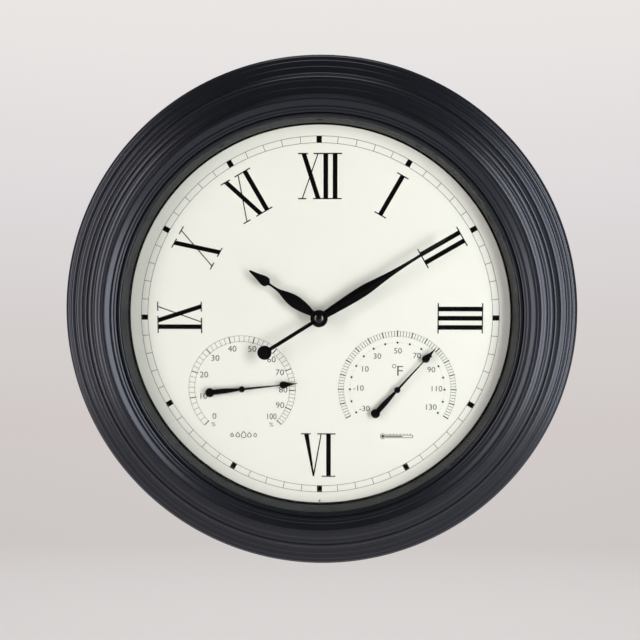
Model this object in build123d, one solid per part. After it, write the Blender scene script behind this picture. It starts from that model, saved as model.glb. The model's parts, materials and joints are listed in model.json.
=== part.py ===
"""Round wall clock with a thermometer and a hygrometer on its dial.

Every piece is drawn lying on its back: x to the right of the dial, y towards twelve
o'clock, z out of the wall. Each is stood upright as it is written, so that the dial
faces -Y, twelve o'clock points to +Z, and the origin is the middle of the wall face.
"""
import os
from math import cos, pi, radians, sin

from build123d import *

# Fits, in millimetres
running_gap = 0.05
seat_gap = 0.3
overrun = 1.0

# Flats on thin bars and holes, on rivet heads, on pipes, and on larger barrels
pin_sides = 8
head_sides = 12
pipe_sides = 16
barrel_sides = 24

# Depths from the wall to the dial
cover_recess = 2.2
cover_thickness = 2.4
wall_to_movement = 11.7
cushion_thickness = 0.8
dial_thickness = 1.5

# Case
frame_radius = 228.6
frame_width = 55.0
frame_wall = 2.6
rebate_width = 4.4
crest_rise = 20.8
rim_drop = 12.0
lip_thickness = 1.6
lens_thickness = 2.2
spacer_height = 11.8
spacer_inset = 0.9
spacer_slope = 6.0
clip_reach = 3.0
clip_width = 8.0
clip_thickness = 0.8
clip_leg = 4.0
clip_count = 6
boss_inset = 12.0
boss_radius = 4.0
screw_count = 4
screw_radius = 1.4
screw_head_radius = 3.0
screw_head_height = 1.6
screw_length = 12.0
screw_hole_gap = 0.2

# Back cover and hanger
window_margin = 5.0
vent_width = 30.0
vent_height = 2.6
vent_pitch = 6.0
vent_count = 4
hanger_inset = 32.6
hanger_width = 46.0
hanger_height = 34.0
hanger_thickness = 1.2
keyhole_radius = 5.0
keyhole_slot_width = 5.0
keyhole_slot_length = 11.0
keyhole_window_width = 20.0
keyhole_window_height = 28.0
rivet_spacing = 34.0
rivet_radius = 1.5
rivet_head_radius = 2.8
rivet_head_height = 0.9

# Battery and movement case
battery_radius = 7.25
battery_length = 50.5
battery_nub_radius = 2.7
battery_nub_length = 1.0
contact_thickness = 0.5
contact_width = 9.0
contact_bow = 2.1
movement_wall = 1.2
movement_top = 28.0
bay_wall = 1.0
bush_radius = 4.0
bush_flange_radius = 6.0
bush_flange_thickness = 1.0
bush_rise = 3.2
nut_across_flats = 12.0
nut_thickness = 2.0
cushion_width = 44.0

# Gear train: distances between arbors, and levels
stage_spacing = 10.2
idler_spacing = 7.2
rotor_spacing = 6.6
motion_spacing = 8.0
wheel_thickness = 0.7
layer_step = 2.0
first_layer_lift = 1.1
pinion_overlap = 0.2
plate_thickness = 0.8
plate_lift = 1.3
motion_lift = 2.7
hour_wheel_lift = 1.6
arbor_radius = 0.8
pivot_radius = 0.6
pivot_depth = 0.8
minute_pipe_radius = 1.8
hour_pipe_radius = 3.0
post_width = 2.4

# Gear teeth: counts, then rise and root in modules
pinion_leaves = 6
cannon_leaves = 8
idler_teeth = 36
second_teeth = 30
third_teeth = 45
centre_teeth = 48
minute_teeth = 24
hour_teeth = 24
tooth_rise_share = 0.70
tooth_root_share = 0.95

# Setting knob
knob_radius = 5.5
knob_height = 3.4
knob_proud = 4.5
knob_stem_radius = 1.5

# Motor and electronics
magnet_radius = 3.0
magnet_height = 2.0
magnet_gap = 0.4
stator_thickness = 0.8
stator_arm = 1.6
coil_offset = 21.5
coil_radius = 3.0
coil_length = 18.0
coil_core_width = 2.4
coil_drop = 5.5
board_width = 30.0
board_height = 8.5
board_thickness = 0.8
crystal_radius = 1.0
crystal_length = 6.0

# Hands
hour_hand_lift = 4.6
minute_hand_lift = 6.9
second_hand_lift = 8.9
hand_thickness = 0.7
hour_hand_length = 74.0
hour_hub_radius = 6.2
hour_belly_half = 5.5
hour_head_half = 4.4
minute_hand_length = 130.0
minute_hub_radius = 6.6
minute_belly_half = 4.9
second_hand_length = 131.0
second_root_half = 0.9
second_tip_half = 0.4
second_hub_radius = 7.4
second_tail_half = 1.5
second_tail_length = 56.5
second_disc_radius = 6.0
cap_radius = 4.3
cap_height = 1.5
cap_taper = 40
hour_angle = 304.3
minute_angle = 57.9
second_angle = 57.8

# Gauges
gauge_spread = 69.0
gauge_drop = 64.0
pointer_lift = 2.6
pointer_thickness = 0.6
pointer_length = 51.0
pointer_hub_radius = 2.8
pointer_head_at = 37.3
pointer_head_half = 3.3
pointer_stem_half = 0.7
pointer_tip_half = 0.35
pointer_tail_half = 1.4
pointer_ball_at = 28.7
pointer_ball_radius = 4.1
thermometer_angle = 41.9
hygrometer_angle = 83.7
gauge_arbor_radius = 0.8
gauge_hole_radius = 2.0
cage_depth = 10.0
cage_width = 10.0
cage_wall = 0.8
strip_first_radius = 1.4
strip_pitch = 4.0
strip_turns = 2
strip_chords = 10
strip_thickness = 0.4
strip_height = 3.6
strip_end_gap = 0.1

# Face of the moulding, from the rim inwards: run share, rise share
moulding_shares = [
    (0.022, 0.061),
    (0.089, 0.061),
    (0.118, 0.149),
    (0.160, 0.134),
    (0.311, 0.277),
    (0.373, 0.537),
    (0.518, 0.607),
    (0.535, 0.656),
    (0.695, 0.774),
    (0.793, 1.000),
    (0.891, 0.921),
]
# Hollow behind the moulding, from its inner wall outwards: run share, rise share
hollow_shares = [(0.356, 0.213)]
hollow_inner_rise_share = 0.854
hollow_outer_rise_share = -0.055
boss_rise_share = 0.180

# Hour hand from the hub: length share, then half width as a share of the leaf or the head
hour_leaf_shares = [
    (0.118, 0.53),
    (0.20, 0.84),
    (0.29, 0.99),
    (0.37, 1.00),
    (0.45, 0.76),
    (0.53, 0.36),
    (0.60, 0.20),
    (0.725, 0.18),
]
hour_head_shares = [(0.745, 0.73), (0.775, 1.00), (0.82, 0.89), (0.89, 0.50), (1.00, 0.15)]
# Minute hand from the hub: length share, half width as a share of the leaf
minute_leaf_shares = [
    (0.06, 0.67),
    (0.16, 0.86),
    (0.27, 0.99),
    (0.36, 1.00),
    (0.45, 0.83),
    (0.53, 0.57),
    (0.65, 0.36),
    (0.82, 0.25),
    (1.00, 0.12),
]

# Depths that follow
cover_front = cover_recess + cover_thickness
movement_back = wall_to_movement
movement_floor = movement_back + movement_wall
movement_roof = movement_back + 2 * battery_radius + seat_gap
movement_front = movement_roof + movement_wall
dial_back = movement_front + cushion_thickness
dial_front = dial_back + dial_thickness
spacer_front = dial_front + spacer_height
lens_front = spacer_front + lens_thickness
lip_front = lens_front + lip_thickness
skirt_front = dial_front - rim_drop
crest_front = dial_front + crest_rise
rebate_back = dial_back - clip_reach

# Radii and places on the dial that follow
sight_radius = frame_radius - frame_width
rebate_radius = sight_radius + rebate_width
stack_radius = rebate_radius - seat_gap
boss_circle_radius = frame_radius - frame_wall - boss_inset
hanger_y = frame_radius - hanger_inset
movement_width = battery_length + contact_bow + 2 * (contact_thickness + movement_wall)
inner_half = movement_width / 2 - movement_wall
window_width = movement_width + 2 * window_margin
rotor_x = idler_spacing + rotor_spacing
knob_x = -2 * motion_spacing
centre_tip_radius = stage_spacing * (centre_teeth + 2) / (centre_teeth + pinion_leaves)
bay_top = -centre_tip_radius - seat_gap - bay_wall
battery_y = bay_top - seat_gap - battery_radius
battery_z = movement_back + seat_gap / 2 + battery_radius
bay_low = battery_y - battery_radius - seat_gap
movement_low = bay_low - movement_wall

# Levels in the movement that follow
idler_level = movement_floor + first_layer_lift
second_level = idler_level + layer_step
third_level = second_level + layer_step
centre_level = third_level + layer_step
plate_level = centre_level + plate_lift
plate_front = plate_level + plate_thickness
minute_level = centre_level + motion_lift
hour_level = minute_level + hour_wheel_lift
magnet_low = idler_level + wheel_thickness + magnet_gap
stator_low = magnet_low + (magnet_height - stator_thickness) / 2
cannon_low = plate_front + pinion_overlap
cannon_high = minute_level + wheel_thickness + pinion_overlap
pivot_low = movement_floor - pivot_depth + running_gap

# Gauge sizes that follow
strip_reach = strip_first_radius + strip_turns * strip_pitch + strip_thickness / 2
cage_half = strip_reach + strip_end_gap
cage_low = dial_back - cage_depth
strip_low = dial_back - (cage_depth + strip_height) / 2


def rod(radius, low, high, x=0, y=0):
    """Round bar between two depths."""
    bar = Cylinder(radius, high - low, align=(Align.CENTER, Align.CENTER, Align.MIN))
    return Pos(x, y, low) * bar


def pin(radius, low, high, x=0, y=0, sides=pin_sides):
    """Small bar between two depths, with flats just inside its radius."""
    return Pos(x, y, low) * extrude(RegularPolygon(radius, sides), high - low)


def bore(radius, low, high, x=0, y=0, sides=pin_sides):
    """Cutter for a hole that clears a bar of that radius, past both depths."""
    outline = RegularPolygon(radius, sides, major_radius=False)
    return Pos(x, y, low - overrun) * extrude(outline, high - low + 2 * overrun)


def block(width, height, low, high, x=0, y=0):
    """Square bar between two depths, centred on a point of the dial."""
    bar = Box(width, height, high - low, align=(Align.CENTER, Align.CENTER, Align.MIN))
    return Pos(x, y, low) * bar


def slab(left, right, bottom, top, low, high):
    """Square bar between two depths, given by its four sides."""
    return block(right - left, top - bottom, low, high, (left + right) / 2, (bottom + top) / 2)


def plate(points, low, high):
    """Flat piece with straight edges between two depths."""
    return Pos(0, 0, low) * extrude(make_face(Polyline(*points, close=True)), high - low)


def strip(points, width):
    """Bent strip from its section of x and depth, centred on y."""
    section = Plane.XZ * make_face(Polyline(*points, close=True))
    return extrude(section, width / 2, both=True)


def turned(points):
    """Ring turned from a section of radius and depth."""
    return revolve(Plane.XZ * make_face(Polyline(*points, close=True)), Axis.Z)


def clockwise(shape, angle):
    """Turn a piece drawn at twelve o'clock to its reading."""
    return Rot(0, 0, -angle) * shape


def around(shape, count):
    """Copies of a piece round the dial, half a step clear of twelve o'clock."""
    step = 360 / count
    return [Rot(0, 0, (place + 1 / 2) * step) * shape for place in range(count)]


# Case


def moulding_point(run_share, rise_share):
    rise = crest_front - skirt_front
    return (frame_radius - frame_width * run_share, skirt_front + rise * rise_share)


def front_frame():
    """One hollow moulding: skirt, stepped face, lip, rebate wall and screw bosses."""
    wall_outside = rebate_radius + frame_wall
    skirt_inside = frame_radius - frame_wall
    shell = turned(
        [
            (frame_radius, 0),
            (frame_radius, skirt_front),
            *[moulding_point(*shares) for shares in moulding_shares],
            (sight_radius, lip_front),
            (sight_radius, lens_front),
            (rebate_radius, lens_front),
            (rebate_radius, rebate_back),
            (wall_outside, rebate_back),
            (wall_outside, moulding_point(0, hollow_inner_rise_share)[1]),
            *[moulding_point(*shares) for shares in hollow_shares],
            (skirt_inside, moulding_point(0, hollow_outer_rise_share)[1]),
            (skirt_inside, 0),
        ]
    )
    boss_top = moulding_point(0, boss_rise_share)[1]
    boss = pin(boss_radius, cover_front, boss_top, y=boss_circle_radius)
    tip = cover_recess + screw_length
    hole = bore(screw_radius, cover_front, tip, y=boss_circle_radius)
    return shell + around(boss, screw_count) - around(hole, screw_count)


def glass_lens():
    return rod(stack_radius, spacer_front, lens_front)


def spacer_ring():
    """Sloping ring that holds the lens off the dial."""
    top_radius = sight_radius - spacer_inset
    foot_radius = top_radius - spacer_slope
    return turned(
        [
            (stack_radius, dial_front),
            (stack_radius, spacer_front),
            (top_radius, spacer_front),
            (foot_radius, dial_front),
        ]
    )


def gauge_places():
    """Thermometer to the right of the dial's foot, hygrometer to the left."""
    return [(gauge_spread, -gauge_drop), (-gauge_spread, -gauge_drop)]


def dial_plate():
    holes = [bore(bush_radius + running_gap, dial_back, dial_front, sides=barrel_sides)]
    for x, y in gauge_places():
        holes.append(bore(gauge_hole_radius, dial_back, dial_front, x, y, head_sides))
    return rod(stack_radius, dial_back, dial_front) - holes


def dial_clips():
    """Steel clips over the rebate wall, each with a foot on the back of the dial."""
    outside = rebate_radius + frame_wall
    inside = stack_radius
    clip = strip(
        [
            (inside, dial_back),
            (inside, rebate_back),
            (outside, rebate_back),
            (outside, rebate_back + clip_leg),
            (outside + clip_thickness, rebate_back + clip_leg),
            (outside + clip_thickness, rebate_back - clip_thickness),
            (inside - clip_thickness, rebate_back - clip_thickness),
            (inside - clip_thickness, dial_back),
        ],
        clip_width,
    )
    return Compound(around(clip, clip_count))


def rivet_places():
    return (-rivet_spacing / 2, rivet_spacing / 2)


def back_cover():
    """Flat cover: movement window, vent slots behind each gauge, window for the keyhole."""
    low, high = cover_recess - overrun, cover_front + overrun
    window_middle = (movement_low + movement_top) / 2
    cuts = [block(window_width, window_width, low, high, y=window_middle)]
    for x, y in gauge_places():
        for row in range(vent_count):
            offset = (row - (vent_count - 1) / 2) * vent_pitch
            cuts.append(block(vent_width, vent_height, low, high, x, y + offset))
    cuts.append(block(keyhole_window_width, keyhole_window_height, low, high, y=hanger_y))
    screw_hole = bore(
        screw_radius + screw_hole_gap, cover_recess, cover_front, y=boss_circle_radius
    )
    cuts += around(screw_hole, screw_count)
    cuts += [bore(rivet_radius, cover_recess, cover_front, x, hanger_y) for x in rivet_places()]
    return rod(frame_radius - frame_wall - seat_gap, cover_recess, cover_front) - cuts


def case_screws():
    tip = cover_recess + screw_length
    head_back = cover_recess - screw_head_height
    shank = pin(screw_radius, cover_recess, tip, y=boss_circle_radius)
    head = pin(screw_head_radius, head_back, cover_recess, y=boss_circle_radius)
    return Compound(around(shank + head, screw_count))


def hanger_plate():
    """Steel keyhole plate: the wall screw enters below and seats at the top of the slot."""
    low, high = cover_front, cover_front + hanger_thickness
    entry_y = hanger_y - keyhole_slot_length / 2
    seat_y = entry_y + keyhole_slot_length
    slot_half = keyhole_slot_width / 2
    entry = rod(keyhole_radius, low - overrun, high + overrun, y=entry_y)
    slot = slab(-slot_half, slot_half, entry_y, seat_y, low - overrun, high + overrun)
    seat = bore(slot_half, low, high, y=seat_y, sides=head_sides)
    holes = [bore(rivet_radius, low, high, x, hanger_y) for x in rivet_places()]
    return block(hanger_width, hanger_height, low, high, y=hanger_y) - entry - slot - seat - holes


def hanger_rivets():
    head_back = cover_recess - rivet_head_height
    rivets = []
    for x in rivet_places():
        shank = pin(rivet_radius, cover_recess, cover_front + hanger_thickness, x, hanger_y)
        head = pin(rivet_head_radius, head_back, cover_recess, x, hanger_y, head_sides)
        rivets.append(shank + head)
    return Compound(rivets)


# Movement case


def post_places():
    """Square posts that carry the train plate: low right, low left and top left."""
    right = rotor_x + post_width
    left = knob_x - knob_stem_radius - post_width
    low = bay_top + bay_wall + post_width / 2
    top = stage_spacing + 2 * post_width
    return [(right, low), (left, low), (left, top)]


def movement_back_case():
    """Open tray with the battery bay below, and posts and pivot holes for the train."""
    half = movement_width / 2
    tray = slab(-half, half, movement_low, movement_top, movement_back, movement_roof)
    train_room = slab(
        -inner_half,
        inner_half,
        bay_top + bay_wall,
        movement_top - movement_wall,
        movement_floor,
        movement_roof + overrun,
    )
    bay_low_z, bay_high_z = movement_back - overrun, movement_roof + overrun
    bay = slab(-inner_half, inner_half, bay_low, bay_top, bay_low_z, bay_high_z)
    blind = movement_floor - pivot_depth + overrun
    holes = [
        bore(knob_stem_radius + running_gap, movement_back, movement_floor, knob_x),
        bore(arbor_radius + running_gap, blind, movement_floor),
        bore(pivot_radius + running_gap, blind, movement_floor, rotor_x),
        bore(pivot_radius + running_gap, blind, movement_floor, y=stage_spacing),
    ]
    idler_post = pin(arbor_radius, movement_floor, second_level + wheel_thickness, idler_spacing)
    posts = [
        block(post_width, post_width, movement_floor, plate_level, x, y) for x, y in post_places()
    ]
    return tray - train_room - bay - holes + idler_post + posts


def train_plate():
    """Bearing plate between the going train and the motion work."""
    (right, low), (left, _), (_, top) = post_places()
    half = post_width / 2
    outline = [
        (left - half, low - half),
        (right + half, low - half),
        (right + half, post_width),
        (2 * post_width, top + half),
        (left - half, top + half),
    ]
    holes = [
        bore(minute_pipe_radius + running_gap, plate_level, plate_front),
        bore(pivot_radius + running_gap, plate_level, plate_front, rotor_x),
        bore(pivot_radius + running_gap, plate_level, plate_front, y=stage_spacing),
        bore(pivot_radius + running_gap, plate_level, plate_front, -motion_spacing),
        bore(knob_stem_radius + running_gap, plate_level, plate_front, knob_x),
    ]
    return plate(outline, plate_level, plate_front) - holes


def movement_front_case():
    half = movement_width / 2
    lid = slab(-half, half, movement_low, movement_top, movement_roof, movement_front)
    bush_hole = bore(
        bush_radius + running_gap, movement_roof, movement_front, sides=barrel_sides
    )
    blind = movement_roof + pivot_depth - overrun
    pivot = bore(pivot_radius + running_gap, movement_roof, blind, -motion_spacing)
    return lid - bush_hole - pivot


def threaded_bush():
    """Flange inside the case and a barrel through the dial, round the hour pipe."""
    flange_low = movement_roof - bush_flange_thickness
    barrel_high = dial_front + bush_rise
    flange = pin(bush_flange_radius, flange_low, movement_roof, sides=barrel_sides)
    barrel = pin(bush_radius, movement_roof, barrel_high, sides=barrel_sides)
    hole = bore(hour_pipe_radius + running_gap, flange_low, barrel_high, sides=pipe_sides)
    return flange + barrel - hole


def hex_nut():
    body = extrude(RegularPolygon(nut_across_flats / 2, 6, major_radius=False), nut_thickness)
    hole = bore(bush_radius, dial_front, dial_front + nut_thickness, sides=barrel_sides)
    return Pos(0, 0, dial_front) * body - hole


def cushion_washer():
    pad = block(cushion_width, cushion_width, movement_front, dial_back)
    return pad - bore(bush_radius + seat_gap, movement_front, dial_back)


def lying(radius, length, sides, across=True):
    """Small bar along x, or along y, about the origin."""
    bar = extrude(RegularPolygon(radius, sides), length / 2, both=True)
    return Rot(0, 90, 0) * bar if across else Rot(90, 0, 0) * bar


def battery_cell():
    """Cell with its positive nub to the right."""
    body_length = battery_length - battery_nub_length
    nub_x = inner_half - contact_thickness - battery_nub_length / 2
    body_x = nub_x - battery_length / 2
    body = lying(battery_radius, body_length, barrel_sides)
    nub = lying(battery_nub_radius, battery_nub_length, pin_sides)
    return Pos(body_x, battery_y, battery_z) * body + Pos(nub_x, battery_y, battery_z) * nub


def battery_contacts():
    """Flat positive strip, and a negative strip bowed against the end of the cell."""
    low, high = movement_floor, movement_roof
    positive = slab(
        inner_half - contact_thickness,
        inner_half,
        battery_y - contact_width / 2,
        battery_y + contact_width / 2,
        low,
        high,
    )
    foot = -inner_half + contact_thickness
    bow = strip(
        [
            (-inner_half, low),
            (foot, low),
            (foot + contact_bow, battery_z),
            (foot, high),
            (-inner_half, high),
            (-inner_half + contact_bow, battery_z),
        ],
        contact_width,
    )
    return Compound([positive, Pos(0, battery_y, 0) * bow])


def board_middle():
    return movement_top - movement_wall - seat_gap - board_height / 2


def circuit_board():
    top = movement_floor + board_thickness
    return block(board_width, board_height, movement_floor, top, y=board_middle())


def quartz_crystal():
    """Small can lying on the board."""
    z = movement_floor + board_thickness + crystal_radius
    can = lying(crystal_radius, crystal_length, pin_sides)
    return Pos(-board_width / 4, board_middle(), z) * can


def motor_stator():
    """Soft iron loop: a block round the rotor, two arms, and a core through the coil."""
    low, high = stator_low, stator_low + stator_thickness
    bottom, top = -coil_drop, coil_length - coil_drop
    ring = magnet_radius + magnet_gap + stator_arm / 2
    core_half = coil_core_width / 2
    loop = slab(
        rotor_x - ring, coil_offset + core_half, bottom - stator_arm, top + stator_arm, low, high
    )
    room = slab(rotor_x + ring, coil_offset - core_half, bottom, top, low - overrun, high + overrun)
    rotor_room = bore(magnet_radius + magnet_gap, low, high, rotor_x, sides=barrel_sides)
    return loop - room - rotor_room


def motor_coil():
    """Winding round the stator core."""
    length = coil_length - seat_gap
    winding = lying(coil_radius, length, barrel_sides, across=False)
    tunnel = Box(coil_core_width + seat_gap, length + overrun, stator_thickness + seat_gap)
    place = Pos(coil_offset, coil_length / 2 - coil_drop, stator_low + stator_thickness / 2)
    return place * (winding - tunnel)


# Gear train


def toothed(teeth, module, low, high, phase):
    """Straight-sided teeth round a disc, one of them at the phase angle."""
    tip = module * (teeth / 2 + tooth_rise_share)
    root = module * (teeth / 2 - tooth_root_share)
    pitch = 2 * pi / teeth
    points = []
    for tooth in range(teeth):
        middle = radians(phase) + tooth * pitch
        valley = middle + pitch / 2
        points.append((tip * cos(middle), tip * sin(middle)))
        points.append((root * cos(valley), root * sin(valley)))
    return plate(points, low, high)


def wheel(teeth, module, level, meshing_at):
    """Wheel with a gap, not a tooth, towards the pinion that it meshes."""
    return toothed(teeth, module, level, level + wheel_thickness, meshing_at + 180 / teeth)


def pair_module(spacing, wheel_teeth, leaves):
    return 2 * spacing / (wheel_teeth + leaves)


rotor_module = pair_module(rotor_spacing, idler_teeth, pinion_leaves)
idler_module = pair_module(idler_spacing, second_teeth, pinion_leaves)
third_module = pair_module(stage_spacing, third_teeth, pinion_leaves)
centre_module = pair_module(stage_spacing, centre_teeth, pinion_leaves)
cannon_module = pair_module(motion_spacing, minute_teeth, cannon_leaves)
hour_module = pair_module(motion_spacing, hour_teeth, pinion_leaves)


def rotor():
    """Magnet and pinion on one arbor, to the right of the intermediate wheel."""
    pinion = toothed(pinion_leaves, rotor_module, idler_level - pinion_overlap, magnet_low, 180)
    magnet = pin(magnet_radius, magnet_low, magnet_low + magnet_height, sides=barrel_sides)
    return Pos(rotor_x, 0, 0) * (pinion + magnet + pin(pivot_radius, pivot_low, plate_front))


def intermediate_wheel():
    """Runs on a fixed post between the rotor and the second wheel."""
    top = second_level + wheel_thickness
    disc = wheel(idler_teeth, rotor_module, idler_level, 0)
    pinion = toothed(pinion_leaves, idler_module, idler_level, top, 180)
    hole = bore(arbor_radius + running_gap, idler_level, top)
    return Pos(idler_spacing, 0, 0) * (disc + pinion - hole)


def second_wheel():
    """Its long arbor goes up through the pipes to the second hand."""
    disc = wheel(second_teeth, idler_module, second_level, 0)
    pinion = toothed(
        pinion_leaves, third_module, second_level, third_level + wheel_thickness, 90
    )
    return disc + pinion + pin(arbor_radius, pivot_low, dial_front + second_hand_lift)


def third_wheel():
    """Above the centre: driven by the second wheel's pinion, drives the centre wheel."""
    disc = wheel(third_teeth, third_module, third_level, -90)
    pinion = toothed(
        pinion_leaves, centre_module, third_level, centre_level + wheel_thickness, -90
    )
    return Pos(0, stage_spacing, 0) * (disc + pinion + pin(pivot_radius, pivot_low, plate_front))


def centre_wheel():
    """Wheel, cannon pinion and the pipe that carries the minute hand."""
    top = dial_front + minute_hand_lift
    disc = wheel(centre_teeth, centre_module, centre_level, 90)
    cannon = toothed(cannon_leaves, cannon_module, cannon_low, cannon_high, 180)
    pipe = pin(minute_pipe_radius, centre_level, top)
    return disc + cannon + pipe - bore(arbor_radius + running_gap, centre_level, top)


def minute_wheel():
    """Left of the centre: steps the cannon pinion down to the hour wheel."""
    disc = wheel(minute_teeth, cannon_module, minute_level, 0)
    pinion = toothed(
        pinion_leaves, hour_module, minute_level, hour_level + wheel_thickness, 0
    )
    arbor = pin(pivot_radius, plate_level, movement_roof + pivot_depth - running_gap)
    return Pos(-motion_spacing, 0, 0) * (disc + pinion + arbor)


def hour_wheel():
    """Wheel and the pipe that carries the hour hand."""
    top = dial_front + hour_hand_lift
    disc = wheel(hour_teeth, hour_module, hour_level, 180)
    pipe = pin(hour_pipe_radius, hour_level, top, sides=pipe_sides)
    return disc + pipe - bore(minute_pipe_radius + running_gap, hour_level, top)


def setting_knob():
    """Thumb wheel behind the movement, with a stem and pinion to the minute wheel."""
    low = movement_back - knob_proud
    knob = pin(knob_radius, low, low + knob_height, sides=barrel_sides)
    stem = pin(knob_stem_radius, low, cannon_low)
    pinion = toothed(cannon_leaves, cannon_module, cannon_low, cannon_high, 0)
    return Pos(knob_x, 0, 0) * (knob + stem + pinion)


# Hands and pointers, each drawn at twelve o'clock


def leaf_outline(length, stations):
    """Closed outline of a hand from stations of length share and half width."""
    right = [(half, share * length) for share, half in stations]
    left = [(-x, y) for x, y in reversed(right)]
    root = stations[0][1]
    return make_face(Polyline((-root, 0), (root, 0), *right, *left, close=True))


def disc_outline(radius, y=0, sides=barrel_sides):
    return Pos(0, y) * RegularPolygon(radius, sides)


def bar_outline(low, high, low_half, high_half):
    """Straight or tapering stretch along a hand."""
    points = [(-low_half, low), (low_half, low), (high_half, high), (-high_half, high)]
    return make_face(Polyline(*points, close=True))


def hour_hand():
    """Leaf with a thin neck and a spade head."""
    stations = [(share, half_share * hour_belly_half) for share, half_share in hour_leaf_shares]
    stations += [(share, half_share * hour_head_half) for share, half_share in hour_head_shares]
    outline = leaf_outline(hour_hand_length, stations) + disc_outline(hour_hub_radius)
    low = dial_front + hour_hand_lift
    hole = bore(minute_pipe_radius + running_gap, low, low + hand_thickness)
    return clockwise(Pos(0, 0, low) * extrude(outline, hand_thickness) - hole, hour_angle)


def minute_hand():
    """Long leaf that thins to a straight stem."""
    stations = [
        (share, half_share * minute_belly_half) for share, half_share in minute_leaf_shares
    ]
    outline = leaf_outline(minute_hand_length, stations) + disc_outline(minute_hub_radius)
    low = dial_front + minute_hand_lift
    hole = bore(arbor_radius + running_gap, low, low + hand_thickness)
    return clockwise(Pos(0, 0, low) * extrude(outline, hand_thickness) - hole, minute_angle)


def second_hand():
    """Needle with a round counterweight on its tail."""
    outline = (
        bar_outline(0, second_hand_length, second_root_half, second_tip_half)
        + bar_outline(-second_tail_length, 0, second_tail_half, second_tail_half)
        + disc_outline(second_disc_radius, -second_tail_length)
        + disc_outline(second_hub_radius)
    )
    low = dial_front + second_hand_lift
    return clockwise(Pos(0, 0, low) * extrude(outline, hand_thickness), second_angle)


def hand_cap():
    """Shallow domed button over the hub."""
    low = dial_front + second_hand_lift + hand_thickness
    return Pos(0, 0, low) * extrude(disc_outline(cap_radius), cap_height, taper=cap_taper)


def gauge_pointer(angle):
    """Thin stem with a spade head, and a ball on its tail."""
    head_low = pointer_head_at - pointer_head_half
    outline = (
        bar_outline(0, pointer_head_at, pointer_stem_half, pointer_stem_half)
        + bar_outline(head_low, pointer_head_at, pointer_stem_half, pointer_head_half)
        + bar_outline(pointer_head_at, pointer_length, pointer_head_half, pointer_tip_half)
        + bar_outline(-pointer_ball_at, 0, pointer_tail_half, pointer_tail_half)
        + disc_outline(pointer_ball_radius, -pointer_ball_at, pipe_sides)
        + disc_outline(pointer_hub_radius, sides=pipe_sides)
    )
    low = dial_front + pointer_lift
    return clockwise(Pos(0, 0, low) * extrude(outline, pointer_thickness), angle)


# Gauge works, each drawn at the middle of the dial


def gauge_cage():
    """Strip bent into a box behind the dial, with a bearing hole in its back and front."""
    outer = block(2 * (cage_half + cage_wall), cage_width, cage_low, dial_back)
    room_low, room_high = cage_low + cage_wall, dial_back - cage_wall
    room = block(2 * cage_half, cage_width + overrun, room_low, room_high)
    return outer - room - bore(gauge_arbor_radius + running_gap, cage_low, dial_back)


def gauge_arbor():
    return pin(gauge_arbor_radius, cage_low, dial_front + pointer_lift)


def gauge_strip():
    """Flat spiral: its inner end lies on the arbor and its outer end at the cage."""

    def side(shift):
        points = []
        for chord in range(strip_turns * strip_chords + 1):
            turned_by = chord / strip_chords
            radius = strip_first_radius + turned_by * strip_pitch + shift
            angle = 2 * pi * turned_by
            points.append((radius * cos(angle), radius * sin(angle)))
        return points

    band = side(strip_thickness / 2) + side(-strip_thickness / 2)[::-1]
    return plate(band, strip_low, strip_low + strip_height)


def write(name, shape):
    """Stand a piece upright and write it."""
    export_step(Rot(90, 0, 0) * shape, f"parts/{name}.step")


def write_case():
    write("front_frame", front_frame())
    write("glass_lens", glass_lens())
    write("spacer_ring", spacer_ring())
    write("dial_plate", dial_plate())
    write("dial_clips", dial_clips())
    write("back_cover", back_cover())
    write("case_screws", case_screws())
    write("hanger_plate", hanger_plate())
    write("hanger_rivets", hanger_rivets())


def write_movement():
    write("movement_back", movement_back_case())
    write("movement_front", movement_front_case())
    write("train_plate", train_plate())
    write("threaded_bush", threaded_bush())
    write("hex_nut", hex_nut())
    write("cushion_washer", cushion_washer())
    write("battery_cell", battery_cell())
    write("battery_contacts", battery_contacts())
    write("circuit_board", circuit_board())
    write("quartz_crystal", quartz_crystal())
    write("motor_stator", motor_stator())
    write("motor_coil", motor_coil())
    write("rotor", rotor())
    write("intermediate_wheel", intermediate_wheel())
    write("second_wheel", second_wheel())
    write("third_wheel", third_wheel())
    write("centre_wheel", centre_wheel())
    write("minute_wheel", minute_wheel())
    write("hour_wheel", hour_wheel())
    write("setting_knob", setting_knob())


def write_hands():
    write("hour_hand", hour_hand())
    write("minute_hand", minute_hand())
    write("second_hand", second_hand())
    write("hand_cap", hand_cap())


def write_gauges():
    readings = {"thermometer": thermometer_angle, "hygrometer": hygrometer_angle}
    for (gauge, angle), (x, y) in zip(readings.items(), gauge_places()):
        place = Pos(x, y, 0)
        write(f"{gauge}_pointer", place * gauge_pointer(angle))
        write(f"{gauge}_arbor", place * gauge_arbor())
        write(f"{gauge}_cage", place * gauge_cage())
        write(f"{gauge}_strip", place * gauge_strip())


def main():
    os.makedirs("parts", exist_ok=True)
    write_case()
    write_movement()
    write_hands()
    write_gauges()


main()
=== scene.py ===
"""Looks for the round wall clock: smooth forms over the solids, printing, materials, light, camera.

Drawing is done in millimetres as on the dial: x to the right, y towards twelve o'clock, z out
of the wall. point() turns that into the shared frame, in metres.
"""
import json
from math import cos, hypot, pi, radians, sin

import bmesh
import bpy
from mathutils import Matrix, Vector


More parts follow.
